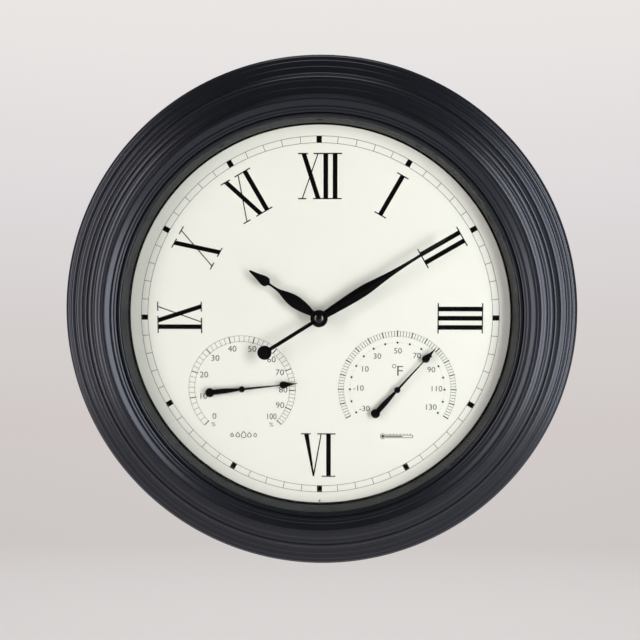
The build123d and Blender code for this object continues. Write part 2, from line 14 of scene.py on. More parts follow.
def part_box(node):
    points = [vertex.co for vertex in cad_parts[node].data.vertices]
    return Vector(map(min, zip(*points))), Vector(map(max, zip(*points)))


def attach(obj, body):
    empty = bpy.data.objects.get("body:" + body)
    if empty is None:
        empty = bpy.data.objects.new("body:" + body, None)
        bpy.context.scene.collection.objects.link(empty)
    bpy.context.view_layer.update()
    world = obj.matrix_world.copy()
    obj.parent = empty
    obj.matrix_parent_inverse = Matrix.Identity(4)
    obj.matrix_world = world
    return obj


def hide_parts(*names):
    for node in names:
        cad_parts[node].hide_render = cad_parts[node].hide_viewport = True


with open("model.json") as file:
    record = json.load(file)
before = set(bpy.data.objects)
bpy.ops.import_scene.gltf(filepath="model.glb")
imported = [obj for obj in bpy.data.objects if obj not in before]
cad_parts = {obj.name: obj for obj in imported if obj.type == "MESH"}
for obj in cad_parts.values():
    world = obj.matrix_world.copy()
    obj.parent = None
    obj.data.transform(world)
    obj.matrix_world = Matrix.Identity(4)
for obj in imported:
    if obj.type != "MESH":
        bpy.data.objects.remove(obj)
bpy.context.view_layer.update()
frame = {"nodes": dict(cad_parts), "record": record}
nodes = frame["nodes"]

MM = 0.001

# Heights above the wall, and the thickness of the flat metal
DIAL = 30.0
PRINT = DIAL + 0.04
NEEDLES = DIAL + 2.6
HOUR_HAND = DIAL + 4.6
MINUTE_HAND = DIAL + 6.9
SECOND_HAND = DIAL + 8.9
HUB = DIAL + 9.6
HAND_THICKNESS = 0.7
NEEDLE_THICKNESS = 0.6

# Sides of the large turned forms, steps between two points of a curved outline, and the
# distance within which points are one
ROUND = 240
CURVE_STEPS = 3
WELD = 0.0001


def point(x, y, z):
    return (x * MM, -z * MM, y * MM)


# Materials


def main_shader(material):
    return material.node_tree.nodes["Principled BSDF"]


def principled(name):
    """New node material; returns it with its nodes, its links and its main shader."""
    material = bpy.data.materials.new(name)
    material.use_nodes = True
    return material, material.node_tree.nodes, material.node_tree.links, main_shader(material)


def grain(made, links, shader, coords, scale, strength, distance):
    """Fine moulded or cast texture as bump."""
    noise = made.new("ShaderNodeTexNoise")
    noise.inputs["Scale"].default_value = scale
    noise.inputs["Detail"].default_value = 3
    bump = made.new("ShaderNodeBump")
    bump.inputs["Strength"].default_value = strength
    bump.inputs["Distance"].default_value = distance
    links.new(coords, noise.inputs["Vector"])
    links.new(noise.outputs["Fac"], bump.inputs["Height"])
    links.new(bump.outputs["Normal"], shader.inputs["Normal"])


def varied(name, low, high, rough, scale, metal=0.0, *, bump, stretch=None):
    """Surface whose colour and roughness drift a little, with fine grain.

    bump is the grain's scale, strength and depth; stretch draws the drift out along an axis.
    """
    material, made, links, shader = principled(name)
    coords = made.new("ShaderNodeTexCoord").outputs["Object"]
    if stretch:
        mapping = made.new("ShaderNodeMapping")
        mapping.inputs["Scale"].default_value = stretch
        links.new(coords, mapping.inputs["Vector"])
        coords = mapping.outputs["Vector"]
    noise = made.new("ShaderNodeTexNoise")
    noise.inputs["Scale"].default_value = scale
    noise.inputs["Detail"].default_value = 5
    links.new(coords, noise.inputs["Vector"])
    ramp = made.new("ShaderNodeValToRGB")
    for element, place, colour in zip(ramp.color_ramp.elements, (0.3, 0.7), (low, high)):
        element.position = place
        element.color = (*colour, 1)
    links.new(noise.outputs["Fac"], ramp.inputs["Fac"])
    links.new(ramp.outputs["Color"], shader.inputs["Base Color"])
    spread = made.new("ShaderNodeMapRange")
    spread.inputs["To Min"].default_value = rough[0]
    spread.inputs["To Max"].default_value = rough[1]
    links.new(noise.outputs["Fac"], spread.inputs["Value"])
    links.new(spread.outputs["Result"], shader.inputs["Roughness"])
    shader.inputs["Metallic"].default_value = metal
    grain(made, links, shader, coords, *bump)
    return material


def glass_material():
    """Clear lens, thin enough to see the dial through, with a trace of uneven polish."""
    material, made, links, shader = principled("lens_glass_clear")
    coords = made.new("ShaderNodeTexCoord").outputs["Object"]
    noise = made.new("ShaderNodeTexNoise")
    noise.inputs["Scale"].default_value = 14
    spread = made.new("ShaderNodeMapRange")
    spread.inputs["To Min"].default_value = 0.0
    spread.inputs["To Max"].default_value = 0.012
    links.new(coords, noise.inputs["Vector"])
    links.new(noise.outputs["Fac"], spread.inputs["Value"])
    links.new(spread.outputs["Result"], shader.inputs["Roughness"])
    shader.inputs["Base Color"].default_value = (0.90, 0.96, 0.94, 1)
    shader.inputs["Transmission Weight"].default_value = 1
    shader.inputs["IOR"].default_value = 1.45
    shader.inputs["Alpha"].default_value = 0.04
    return material


looks = {
    "frame_plastic": varied(
        "frame_black", (0.0068, 0.0074, 0.0100), (0.0082, 0.0088, 0.0118), (0.29, 0.33), 40,
        bump=(1600, 0.03, 0.00003),
    ),
    "lens_glass": glass_material(),
    "spacer_plastic": varied(
        "spacer_grey", (0.0147, 0.0182, 0.0190), (0.0210, 0.0250, 0.0262), (0.14, 0.20), 50,
        bump=(1400, 0.05, 0.00005),
    ),
    "dial_cream": varied(
        "dial_cream_matt", (0.873, 0.872, 0.797), (0.898, 0.897, 0.827), (0.55, 0.65), 9,
        bump=(2200, 0.03, 0.00004),
    ),
    "hand_black": varied(
        "hand_satin_black", (0.0010, 0.0010, 0.0013), (0.0020, 0.0018, 0.0024), (0.36, 0.46), 120,
        bump=(1800, 0.08, 0.00004),
    ),
    "cover_plastic": varied(
        "cover_black", (0.020, 0.020, 0.022), (0.032, 0.031, 0.034), (0.48, 0.60), 30,
        bump=(700, 0.35, 0.00015),
    ),
    "steel": varied(
        "zinc_steel", (0.46, 0.47, 0.49), (0.62, 0.63, 0.65), (0.26, 0.40), 400, 1.0,
        bump=(1500, 0.08, 0.00005), stretch=(1, 1, 6),
    ),
    "movement_plastic": varied(
        "movement_black", (0.014, 0.014, 0.015), (0.022, 0.022, 0.024), (0.42, 0.55), 80,
        bump=(1500, 0.25, 0.0001),
    ),
    "gear_plastic": varied(
        "gear_white", (0.72, 0.72, 0.68), (0.80, 0.80, 0.76), (0.34, 0.44), 200,
        bump=(2500, 0.04, 0.00003),
    ),
    "brass": varied(
        "turned_brass", (0.60, 0.42, 0.16), (0.72, 0.53, 0.24), (0.22, 0.34), 600, 1.0,
        bump=(2600, 0.06, 0.00004), stretch=(1, 8, 1),
    ),
    "rubber": varied(
        "washer_rubber", (0.014, 0.014, 0.014), (0.022, 0.022, 0.022), (0.70, 0.82), 200,
        bump=(2200, 0.2, 0.00008),
    ),
    "cell_sleeve": varied(
        "cell_sleeve_green", (0.020, 0.055, 0.040), (0.026, 0.068, 0.050), (0.24, 0.32), 80,
        bump=(900, 0.03, 0.00004),
    ),
    "board_green": varied(
        "board_mask", (0.010, 0.085, 0.040), (0.016, 0.11, 0.055), (0.30, 0.40), 300,
        bump=(2500, 0.1, 0.00004),
    ),
    "copper": varied(
        "wound_copper", (0.50, 0.20, 0.08), (0.64, 0.28, 0.12), (0.24, 0.36), 500, 1.0,
        bump=(3000, 0.5, 0.0001), stretch=(1, 1, 12),
    ),
    "magnet": varied(
        "sintered_magnet", (0.10, 0.10, 0.105), (0.15, 0.15, 0.155), (0.45, 0.58), 700, 0.6,
        bump=(3000, 0.2, 0.00005),
    ),
    "bimetal": varied(
        "bimetal_strip", (0.52, 0.44, 0.26), (0.62, 0.54, 0.34), (0.26, 0.38), 500, 1.0,
        bump=(2600, 0.08, 0.00003), stretch=(1, 8, 1),
    ),
}
ink = varied(
    "print_ink", (0.0010, 0.0010, 0.0010), (0.0020, 0.0020, 0.0020), (0.50, 0.62), 300,
    bump=(2500, 0.05, 0.00003),
)
fine_ink = varied(
    "fine_print_ink", (0.020, 0.020, 0.019), (0.030, 0.030, 0.028), (0.55, 0.65), 300,
    bump=(2500, 0.05, 0.00003),
)
# Painted shade for the cross slots in the screw heads
painted_slot_shade = varied(
    "slot_painted_shade", (0.05, 0.05, 0.052), (0.08, 0.08, 0.082), (0.40, 0.55), 500, 0.8,
    bump=(2500, 0.1, 0.00003),
)
# Painted shade: dull black for the shadowed gaps at the spacer's foot and inside the frame's lip
painted_shade_black = varied(
    "painted_shade_dull_black", (0.0015, 0.0015, 0.0015), (0.0025, 0.0025, 0.0025), (0.85, 0.95), 300,
    bump=(2500, 0.1, 0.00003),
)

# Black things mirror less than plain plastic would, the painted shade not at all, and the frame
# mirrors a little bluer
for material, level in (
    (painted_shade_black, 0.0), (ink, 0.05), (fine_ink, 0.15), (looks["hand_black"], 0.12),
    (looks["frame_plastic"], 0.46), (looks["spacer_plastic"], 0.40),
):
    main_shader(material).inputs["Specular IOR Level"].default_value = level
tint = main_shader(looks["frame_plastic"]).inputs["Specular Tint"]
tint.default_value = (0.80, 0.84, 1.0, 1)

slot_of = {part["node"]: part["material_slot"] for part in frame["record"]["subparts"]}
for node, thing in nodes.items():
    for place in thing.material_slots:
        place.material = looks[slot_of[node]]


# Meshes: each form is a pair of verts and faces, in millimetres


def piece(name, verts, faces, look, body, replaced=(), slot=None, sharp=32):
    """Object from a form, smooth but for edges over the sharp angle, riding on a body."""
    mesh = bpy.data.meshes.new(name)
    mesh.from_pydata([point(*v) for v in verts], [], faces)
    made = bmesh.new()
    made.from_mesh(mesh)
    bmesh.ops.remove_doubles(made, verts=made.verts, dist=WELD * MM)
    if any(len(edge.link_faces) == 2 for edge in made.edges):
        bmesh.ops.recalc_face_normals(made, faces=made.faces)
    for face in made.faces:
        face.smooth = True
    for edge in made.edges:
        if len(edge.link_faces) == 2 and edge.calc_face_angle(0) > radians(sharp):
            edge.smooth = False
    made.to_mesh(mesh)
    made.free()
    thing = bpy.data.objects.new(name, mesh)
    bpy.context.scene.collection.objects.link(thing)
    mesh.materials.append(look)
    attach(thing, body)
    if replaced:
        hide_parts(*replaced)


def lathe(profile, segments, x=0.0, y=0.0):
    """Turned form from its closed section of radius and height above the wall."""
    verts, faces = [], []
    count = len(profile)
    for step in range(segments):
        turn = 2 * pi * step / segments
        verts += [(x + r * cos(turn), y + r * sin(turn), z) for r, z in profile]
    for step in range(segments):
        here, there = step * count, (step + 1) % segments * count
        for i in range(count):
            j = (i + 1) % count
            faces.append((here + i, here + j, there + j, there + i))
    return verts, faces


def curve_through(points):
    """Smooth line through points, for an outline with bends."""
    last = len(points) - 1
    line = []
    for i in range(last):
        a, b = points[max(i - 1, 0)], points[i]
        c, d = points[i + 1], points[min(i + 2, last)]
        for step in range(CURVE_STEPS):
            t = step / CURVE_STEPS
            line.append(
                tuple(
                    q + 0.5 * t * (r - p + t * (2 * p - 5 * q + 4 * r - s + t * (3 * (q - r) + s - p)))
                    for p, q, r, s in zip(a, b, c, d)
                )
            )
    line.append(points[-1])
    return line


def arc(radius, start, end, steps, x=0.0, y=0.0):
    """Points of an arc; angles are clockwise from twelve o'clock, in degrees."""
    turns = [radians(start + (end - start) * i / steps) for i in range(steps + 1)]
    return [(x + radius * sin(t), y + radius * cos(t)) for t in turns]


def circle(radius, steps, x, y):
    return arc(radius, 0, 360, steps, x, y)[:-1]


def prism(outline, low, high, bevel=0.0, steps=2):
    """Flat form, with a rounded front edge where it has a bevel."""
    count = len(outline)
    area = sum(
        a[0] * b[1] - b[0] * a[1] for a, b in zip(outline, outline[1:] + outline[:1])
    )
    if area < 0:
        outline = outline[::-1]

    def inset(amount):
        moved = []
        for i in range(count):
            (ax, ay), (bx, by), (cx, cy) = outline[i - 1], outline[i], outline[(i + 1) % count]
            n = Vector((by - ay + cy - by, ax - bx + bx - cx))
            n = n.normalized() if n.length > 1e-9 else Vector((0, 0))
            moved.append((bx - n.x * amount, by - n.y * amount))
        return moved

    rings = [(outline, low)]
    if bevel:
        for k in range(steps + 1):
            t = pi / 2 * k / steps
            rings.append((inset(bevel * (1 - cos(t))), high - bevel * (1 - sin(t))))
    else:
        rings.append((outline, high))
    verts = [(px, py, z) for ring, z in rings for px, py in ring]
    faces = [tuple(reversed(range(count)))]
    for ring in range(len(rings) - 1):
        here, there = ring * count, (ring + 1) * count
        for i in range(count):
            j = (i + 1) % count
            faces.append((here + i, here + j, there + j, there + i))
    top = (len(rings) - 1) * count
    faces.append(tuple(range(top, top + count)))
    return verts, faces


def disc(radius, low, high, bevel, steps=48, y=0.0):
    turns = [2 * pi * k / steps for k in range(steps)]
    return prism([(radius * cos(t), y + radius * sin(t)) for t in turns], low, high, bevel, 3)


def joined(*parts):
    verts, faces = [], []
    for some, others in parts:
        start = len(verts)
        verts += some
        faces += [tuple(start + i for i in face) for face in others]
    return verts, faces


def shifted(part, x, y):
    verts, faces = part
    return [(vx + x, vy + y, vz) for vx, vy, vz in verts], faces


def turned_by(part, angle, x=0.0, y=0.0):
    """Form turned clockwise about the origin, then moved."""
    verts, faces = part
    c, s = cos(radians(angle)), sin(radians(angle))
    return [(x + vx * c + vy * s, y - vx * s + vy * c, vz) for vx, vy, vz in verts], faces


# Printing: sheets of ink just proud of the dial


def sheet(points):
    return [(x, y, PRINT) for x, y in points], [tuple(range(len(points)))]


def bar(x0, x1, y0, y1):
    return sheet([(x0, y0), (x1, y0), (x1, y1), (x0, y1)])


def ribbon(points, width, closed=False):
    """Line of ink of even width."""
    count = len(points)
    left, right = [], []
    for i, (px, py) in enumerate(points):
        before = points[i - 1] if i or closed else points[0]
        after = points[(i + 1) % count] if i < count - 1 or closed else points[-1]
        dx, dy = after[0] - before[0], after[1] - before[1]
        size = hypot(dx, dy)
        nx, ny = -dy / size * width / 2, dx / size * width / 2
        left.append((px + nx, py + ny, PRINT))
        right.append((px - nx, py - ny, PRINT))
    faces = []
    for i in range(count if closed else count - 1):
        j = (i + 1) % count
        faces.append((i, j, count + j, count + i))
    return left + right, faces


def tick(angle, inner, outer, width, x=0.0, y=0.0):
    return turned_by(bar(-width / 2, width / 2, inner, outer), angle, x, y)


def dot(radius, x, y):
    return sheet(circle(radius, 16, x, y))


def printed(name, parts, look):
    piece(name, *joined(*parts), look, "case", slot="dial_cream")


# Numerals: strokes from the left end of the numeral and up from its foot
NUMERAL_FOOT, NUMERAL_HEIGHT = 103.95, 39.8
SERIF, STEM, HAIR = 1.05, 4.1, 1.0


def stroke(x0, x1, width0, width1=None):
    """Slanted or upright stroke from foot to head, given by its middle at both ends."""
    width1 = width0 if width1 is None else width1
    low, high = SERIF / 2, NUMERAL_HEIGHT - SERIF / 2
    return sheet(
        [
            (x0 - width0 / 2, low),
            (x0 + width0 / 2, low),
            (x1 + width1 / 2, high),
            (x1 - width1 / 2, high),
        ]
    )


def foot(x0, x1):
    return bar(x0, x1, 0, SERIF)


def head(x0, x1):
    return bar(x0, x1, NUMERAL_HEIGHT - SERIF, NUMERAL_HEIGHT)


def stems(middles):
    return [stroke(m, m, STEM) for m in middles]


def cross(x):
    """The two strokes of an X whose left end is at x."""
    return [stroke(x + 17.5, x + 5.0, STEM), stroke(x + 3.6, x + 17.4, HAIR)]


# Each numeral's strokes and its width
NUMERALS = {
    "I": (stems([5.65]) + [foot(0, 11.3), head(0, 11.3)], 11.3),
    "II": (stems([5.5, 13.7]) + [foot(0, 19.2), head(0, 19.2)], 19.2),
    "III": (stems([5.25, 13.4, 21.55]) + [foot(0, 26.8), head(0, 26.8)], 26.8),
    "IX": (
        stems([5.75]) + cross(6.4)
        + [head(0, 15.3), head(20.0, 28.0), foot(0, 13.8), foot(19.3, 28.0)],
        28.0,
    ),
    "X": (cross(0) + [head(0, 8.9), head(13.7, 21.4), foot(0.2, 7.1), foot(13.0, 22.0)], 22.0),
    "XI": (
        cross(0) + stems([24.1])
        + [head(0, 9.0), head(13.8, 29.6), foot(0.1, 7.1), foot(13.0, 29.4)],
        29.6,
    ),
    "XII": (
        cross(0) + stems([24.1, 32.2])
        + [head(0, 8.8), head(13.5, 38.2), foot(0.1, 7.1), foot(13.0, 38.0)],
        38.2,
    ),
    "VI": (
        [stroke(11.0, 4.7, 1.4, STEM), stroke(11.0, 17.9, 1.2, HAIR), *stems([24.5])]
        + [head(0, 8.6), head(14.4, 30.7), foot(18.4, 30.6)],
        30.7,
    ),
}


def numeral(name, angle, slide, foot_at=NUMERAL_FOOT):
    """Numeral whose middle stands a slide to the right of the middle line, then turned."""
    strokes, width = NUMERALS[name]
    return turned_by(shifted(joined(*strokes), slide - width / 2, foot_at), angle)


# Hour ring: six numerals turned to the middle, with XII and VI upright, hour blocks, track
TRACK_INNER, TRACK_OUTER = 152.1, 157.9
BLOCK_WIDTH, RING_WIDTH, MINUTE_WIDTH = 4.6, 0.36, 0.42
numerals = [
    numeral(*row)
    for row in (
        ("I", 30, 0.95), ("II", 60, 0.35), ("III", 90, 0.35),
        ("IX", 270, -0.25), ("X", 300, -0.6), ("XI", 330, -1.5),
        ("XII", 0, 0.7, NUMERAL_FOOT - 0.35), ("VI", 0, -1.05, -143.9),
    )
]
blocks = [tick(30 * hour, TRACK_INNER + 0.1, TRACK_OUTER, BLOCK_WIDTH) for hour in range(12)]
dot_below_six = dot(0.8, 0.0, -166.0)
printed("dial_numerals", numerals + blocks + [dot_below_six], ink)

track = [ribbon(circle(r, 288, 0, 0), RING_WIDTH, True) for r in (TRACK_INNER, TRACK_OUTER)]
for minute in range(60):
    if minute % 5:
        track.append(tick(6 * minute, TRACK_INNER, TRACK_OUTER, MINUTE_WIDTH))
printed("minute_track", track, fine_ink)

# Gauge printing: each gauge's middle on the dial, then a figure's height as a share of its
# font's size, its stretch sideways, and what its outline is thinned by as a share of its height
GAUGES = {"thermometer": (69.0, -64.0), "hygrometer": (-69.0, -64.0)}
FIGURE_SHARE, FIGURE_WIDTH, FIGURE_THINNING = 0.73, 1.06, 0.004


def writing(words, height, x, y, width=FIGURE_WIDTH):
    """Plain figures, centred on a point of the dial."""
    curve = bpy.data.curves.new("writing", "FONT")
    curve.body = words
    curve.size = height / FIGURE_SHARE
    curve.align_x, curve.align_y = "CENTER", "CENTER"
    curve.offset = -FIGURE_THINNING * height
    curve.fill_mode = "FRONT"
    curve.resolution_u = 4
    holder = bpy.data.objects.new("writing", curve)
    bpy.context.scene.collection.objects.link(holder)
    mesh = bpy.data.meshes.new_from_object(holder)
    bpy.data.objects.remove(holder)
    verts = [(x + v.co.x * width, y + v.co.y, PRINT) for v in mesh.vertices]
    faces = [tuple(p.vertices) for p in mesh.polygons]
    bpy.data.meshes.remove(mesh)
    return verts, faces


def thermometer_scale():
    """Marks every two degrees from -30 to 130, a row of dots inside them, figures, unit sign."""
    x, y = GAUGES["thermometer"]
    inner, outer, dot_ring = 47.4, 52.0, 41.9
    start, end, spacing = -120, 120, 3
    marks, spots = [], []
    for angle in range(start, end + 1, spacing):
        t = radians(angle)
        place = (x + dot_ring * sin(t), y + dot_ring * cos(t))
        if (angle - start) % (5 * spacing) == 0:
            marks.append(tick(angle, inner, outer + 0.6, 0.95, x, y))
            spots.append(dot(0.95, *place))
        else:
            marks.append(tick(angle, inner, outer, 0.42, x, y))
            marks.append(dot(0.22, *place))
    for radius in (inner, outer):
        marks.append(ribbon(arc(radius, start, end, 120, x, y), 0.16))
    figure_places = (
        (-28.8, -17.6), (-34.3, 0.8), (-28.8, 18.0), (-17.8, 29.5), (0.4, 34.4), (17.2, 30.1),
        (30.0, 17.7), (34.6, 0.6), (29.8, -16.0),
    )
    for value, (fx, fy) in zip(range(-30, 131, 20), figure_places):
        marks.append(writing(str(value), 5.1, x + fx, y + fy))
    stem, top = x + 0.6, y + 21.0
    marks.append(ribbon(circle(1.6, 24, x - 2.7, y + 20.9), 0.5, True))
    marks.append(ribbon([(stem, y + 12.4), (stem, top)], 1.15))
    marks.append(bar(stem, x + 5.1, y + 20.2, top))
    marks.append(bar(stem, x + 5.0, y + 16.4, y + 17.2))
    printed("thermometer_scale", marks, fine_ink)
    printed("thermometer_dots", spots, ink)


def hygrometer_scale():
    """Double ring from 0 to 100 with uneven tens, each in five steps, figures, unit signs."""
    x, y = GAUGES["hygrometer"]
    inner, outer, long_inner = 42.4, 47.6, 41.8
    tens = [-134.2, -100.6, -70.5, -41.5, -13.7, 13.9, 40.9, 67.3, 91.8, 113.4, 132.7]
    marks = [ribbon(arc(radius, tens[0], tens[-1], 150, x, y), 0.26) for radius in (inner, outer)]
    for start, end in zip(tens, tens[1:]):
        marks.append(tick(start, long_inner, outer, 0.85, x, y))
        for part in range(1, 5):
            marks.append(tick(start + (end - start) * part / 5, inner, outer, 0.32, x, y))
    marks.append(tick(tens[-1], long_inner, outer, 0.85, x, y))
    figure_places = (
        (-25.1, -25.2), (-35.0, -7.1), (-33.9, 12.3), (-23.7, 27.3), (-8.4, 35.7), (9.3, 35.6),
        (26.4, 26.2), (33.8, 14.6), (36.7, -1.0), (33.8, -15.0), (25.9, -25.3),
    )
    for ten, (fx, fy) in enumerate(figure_places):
        width = FIGURE_WIDTH if ten < 10 else 0.86
        marks.append(writing(str(10 * ten), 5.5, x + fx, y + fy, width))
    for side in (-1, 1):
        marks.append(writing("%", 3.8, x + side * 26.0, y - 32.6))
    printed("hygrometer_scale", marks, fine_ink)


def drop_outline(x, y, size):
    turns = [2 * pi * k / 28 for k in range(28)]
    return [
        (x + size * 0.5 * sin(t) * sin(t / 2), y + size * (0.12 + 0.5 * cos(t))) for t in turns
    ]


def gauge_signs():
    """Signs under the scales: a row of drops, and a thermometer lying down."""
    x, y = GAUGES["hygrometer"]
    signs = []
    for k, size in enumerate((3.2, 4.2, 5.6, 4.2, 3.2)):
        signs.append(ribbon(drop_outline(x + 1.0 + (k - 2) * 5.2, y - 42.3, size), 0.6, True))
    x, y = GAUGES["thermometer"]
    bulb_x, tip_x, middle = x - 12.4, x + 13.2, y - 42.4
    bulb = arc(2.2, 58.5, -238.5, 28, bulb_x, middle)
    tip = arc(1.15, 180, 0, 10, tip_x, middle)
    signs.append(ribbon(bulb + tip, 0.5, True))
    signs.append(dot(1.35, bulb_x, middle))
    signs.append(bar(bulb_x, x + 5.0, middle - 0.42, middle + 0.42))
    for k in range(7):
        mark = x - 6.0 + 3.0 * k
        signs.append(bar(mark - 0.22, mark + 0.22, middle + 1.2, middle + 2.6))
    printed("gauge_signs", signs, ink)


thermometer_scale()
hygrometer_scale()
gauge_signs()

# Frame front, from the rim to the lip: radius, and height above the dial
RIM = [
    (228.60, -12.30), (228.40, -11.60), (228.00, -11.00), (227.40, -10.60), (227.00, -10.30),
    (226.70, -9.80), (226.40, -9.45), (225.90, -9.15), (225.20, -8.90), (224.40, -8.75),
]
OUTER_BEADS = [
    (223.70, -8.65), (223.40, -8.40), (223.10, -7.90), (222.80, -7.55), (222.20, -7.20),
    (221.40, -6.95), (220.40, -6.80), (219.00, -6.65), (218.20, -6.50), (217.90, -6.25),
    (217.60, -5.75), (217.30, -5.40), (216.70, -5.05), (215.80, -4.80), (214.80, -4.60),
    (213.60, -4.35), (212.80, -4.10), (212.00, -3.75),
]
OUTER_WALL = [
    (211.20, -2.20), (210.40, -0.70), (209.60, 1.00), (208.80, 2.90), (208.20, 4.20),
    (207.60, 5.20), (207.00, 5.70),
]
MIDDLE_BEADS = [
    (206.20, 6.08), (205.50, 6.28), (205.00, 6.30), (204.60, 6.12), (204.20, 6.00),
    (203.90, 6.15), (203.50, 6.55), (203.10, 6.80), (202.10, 7.25), (201.40, 7.48),
    (200.50, 7.60), (199.50, 7.70), (198.90, 7.90), (198.40, 8.30), (197.90, 8.75),
    (197.40, 9.05), (196.30, 9.55), (195.40, 9.85), (194.50, 10.00), (193.40, 10.30),
    (192.60, 10.65),
]
CREST = [(190.60, 14.90), (188.00, 20.45), (187.00, 20.75), (186.50, 20.60)]
INNER_BEADS = [
    (185.10, 19.60), (183.80, 18.65), (182.60, 17.75), (182.20, 17.50), (181.80, 17.40),
    (181.30, 17.58), (180.90, 17.62), (180.30, 17.25), (179.60, 16.75), (179.20, 16.50),
    (178.90, 16.58), (178.50, 16.60), (177.90, 16.25), (177.30, 15.85), (176.95, 15.50),
]
LIP = [
    (176.75, 14.95), (176.20, 14.90), (174.80, 14.85), (174.20, 14.65), (173.80, 14.35),
    (173.60, 14.15),
]

# Frame back, from the lip to the rim: radius, and height above the wall
REBATE = [(173.6, 44.0), (178.0, 44.0), (178.0, 25.5), (180.6, 25.5)]
HOLLOW = [(180.6, 46.4), (212.0, 23.5), (226.0, 16.4), (226.0, 0.4)]
REAR_RING = [(226.3, 0.0), (228.2, 0.0), (228.6, 0.4)]

face = RIM + OUTER_BEADS + OUTER_WALL + MIDDLE_BEADS + CREST + INNER_BEADS + LIP
front = [(r, DIAL + h) for r, h in face]
back = REBATE + HOLLOW + REAR_RING
piece(
    "frame_moulding", *lathe(front + back, ROUND), looks["frame_plastic"], "case",
    ["front_frame"], "frame_plastic", sharp=40,
)

# Spacer ring, and painted shade: thin black rings at its foot on the dial and where the frame's beads
# meet the lip
spacer = [
    (177.7, DIAL), (177.7, 41.8), (173.3, 41.8), (173.0, 41.6), (172.7, 41.2), (169.0, 33.9),
    (168.6, 33.0), (168.3, 32.0), (167.8, 30.3), (167.75, DIAL),
]
piece(
    "spacer_slope", *lathe(spacer, ROUND), looks["spacer_plastic"], "case",
    ["spacer_ring"], "spacer_plastic", sharp=50,
)

foot_shade_line = [
    (167.5, 30.02), (167.5, 30.7), (167.95, 31.75), (168.3, 32.7), (168.65, 33.45),
    (169.0, 33.4), (169.0, 30.02),
]
sight_shade_line = [(175.95, 44.8), (176.75, 44.8), (176.75, 45.15), (175.95, 45.1)]
shadow_lines = joined(lathe(foot_shade_line, ROUND), lathe(sight_shade_line, ROUND))
piece("sight_shadow_lines", *shadow_lines, painted_shade_black, "case", slot="spacer_plastic")

# Hands, drawn at twelve o'clock, and how far the photograph shows them turned
TURNS = {"hour": 304.3, "minute": 57.9, "second": 57.8}


def both_sides(half):
    """Closed outline from the right half, which starts and ends near the middle line."""
    return half + [(-px, py) for px, py in reversed(half)]


def leaf_hand(half, hub_radius, low):
    """Flat hand with its hub, from the right half of its outline."""
    high, edge = low + HAND_THICKNESS, 0.18
    return joined(prism(both_sides(half), low, high, edge), disc(hub_radius, low, high, edge))


def second_hand(low):
    """Long needle, tail bar with its counterweight disc, and the hub that covers the others."""
    high = low + HAND_THICKNESS
    needle_half = [(0.9, 5.0), (0.4, 130.6), (0.2, 131.0)]
    tail_half = [(1.65, -5.0), (1.65, -52.0)]
    return joined(
        prism(both_sides(needle_half), low, high, 0.12),
        prism(both_sides(tail_half), low, high, 0.15),
        disc(6.3, low, high, 0.2, y=-56.7),
        disc(7.6, low, high, 0.25, 64),
    )


hour_half = curve_through(
    [
        (2.9, 4.5), (2.9, 8.7), (3.9, 12.5), (4.8, 17.0), (5.4, 22.0), (5.5, 26.0), (5.0, 30.5),
        (3.9, 35.0), (2.6, 39.0), (1.6, 42.5), (1.15, 45.5), (1.0, 49.0), (1.05, 52.0),
        (1.5, 53.4), (2.9, 54.2), (4.0, 55.4), (4.4, 57.2), (4.3, 59.0), (3.7, 61.4),
        (2.9, 64.2), (2.2, 66.8), (1.6, 69.6), (1.15, 71.8), (0.85, 73.2), (0.4, 73.95),
        (0.0, 74.0),
    ]
)
piece(
    "hour_hand_leaf", *turned_by(leaf_hand(hour_half, 6.2, HOUR_HAND), TURNS["hour"]),
    looks["hand_black"], "hour_group", ["hour_hand"], "hand_black",
)

minute_half = curve_through(
    [
        (3.3, 4.0), (3.35, 8.0), (3.8, 14.0), (4.25, 22.0), (4.7, 32.0), (4.9, 41.0), (4.8, 48.0),
        (4.2, 55.0), (3.4, 62.0), (2.7, 69.0), (2.1, 76.0), (1.7, 84.0), (1.4, 92.0),
        (1.25, 102.0), (1.1, 114.0), (0.8, 125.0), (0.5, 129.4), (0.0, 130.0),
    ]
)
piece(
    "minute_hand_leaf", *turned_by(leaf_hand(minute_half, 6.6, MINUTE_HAND), TURNS["minute"]),
    looks["hand_black"], "minute_group", ["minute_hand"], "hand_black",
)

piece(
    "second_hand_needle", *turned_by(second_hand(SECOND_HAND), TURNS["second"]),
    looks["hand_black"], "second_group", ["second_hand"], "hand_black",
)

# Domed cap over the hub: its radius, the radius of its curve, and its height
DOME_RADIUS, DOME_CURVE, DOME_HEIGHT = 4.0, 6.6, 1.5
gloss = varied(
    "hub_gloss_black", (0.002, 0.002, 0.0025), (0.004, 0.004, 0.0045), (0.12, 0.18), 200,
    bump=(2000, 0.02, 0.00002),
)
dome = [(0.0, HUB), (DOME_RADIUS, HUB)]
for k in range(13):
    r = DOME_RADIUS * (1 - k / 12)
    dome.append((r, HUB + DOME_HEIGHT - DOME_CURVE + (DOME_CURVE * DOME_CURVE - r * r) ** 0.5))
piece("hub_dome", *lathe(dome, 48), gloss, "second_group", ["hand_cap"], "hand_black")


def gauge_needle(low):
    """Needle with a spade tip, a tail with its disc, and a hub."""
    high = low + NEEDLE_THICKNESS
    needle_half = curve_through(
        [
            (1.0, 2.0), (0.95, 8.0), (0.8, 16.0), (0.65, 24.0), (0.6, 33.2), (1.6, 34.2),
            (2.7, 35.2), (3.2, 36.8), (3.1, 38.4), (2.4, 40.2), (1.7, 42.0), (1.15, 44.2),
            (0.7, 46.6), (0.3, 49.0), (0.0, 49.8),
        ]
    )
    tail_half = [(2.3, -26.5), (2.4, -21.0), (2.3, -15.0), (1.7, -8.0), (1.1, -2.0)]
    return joined(
        prism(both_sides(needle_half), low, high, 0.12),
        prism(both_sides(tail_half), low, high, 0.12),
        disc(4.1, low, high, 0.15, 32, -28.7),
        disc(2.8, low, high, 0.15, 32),
    )


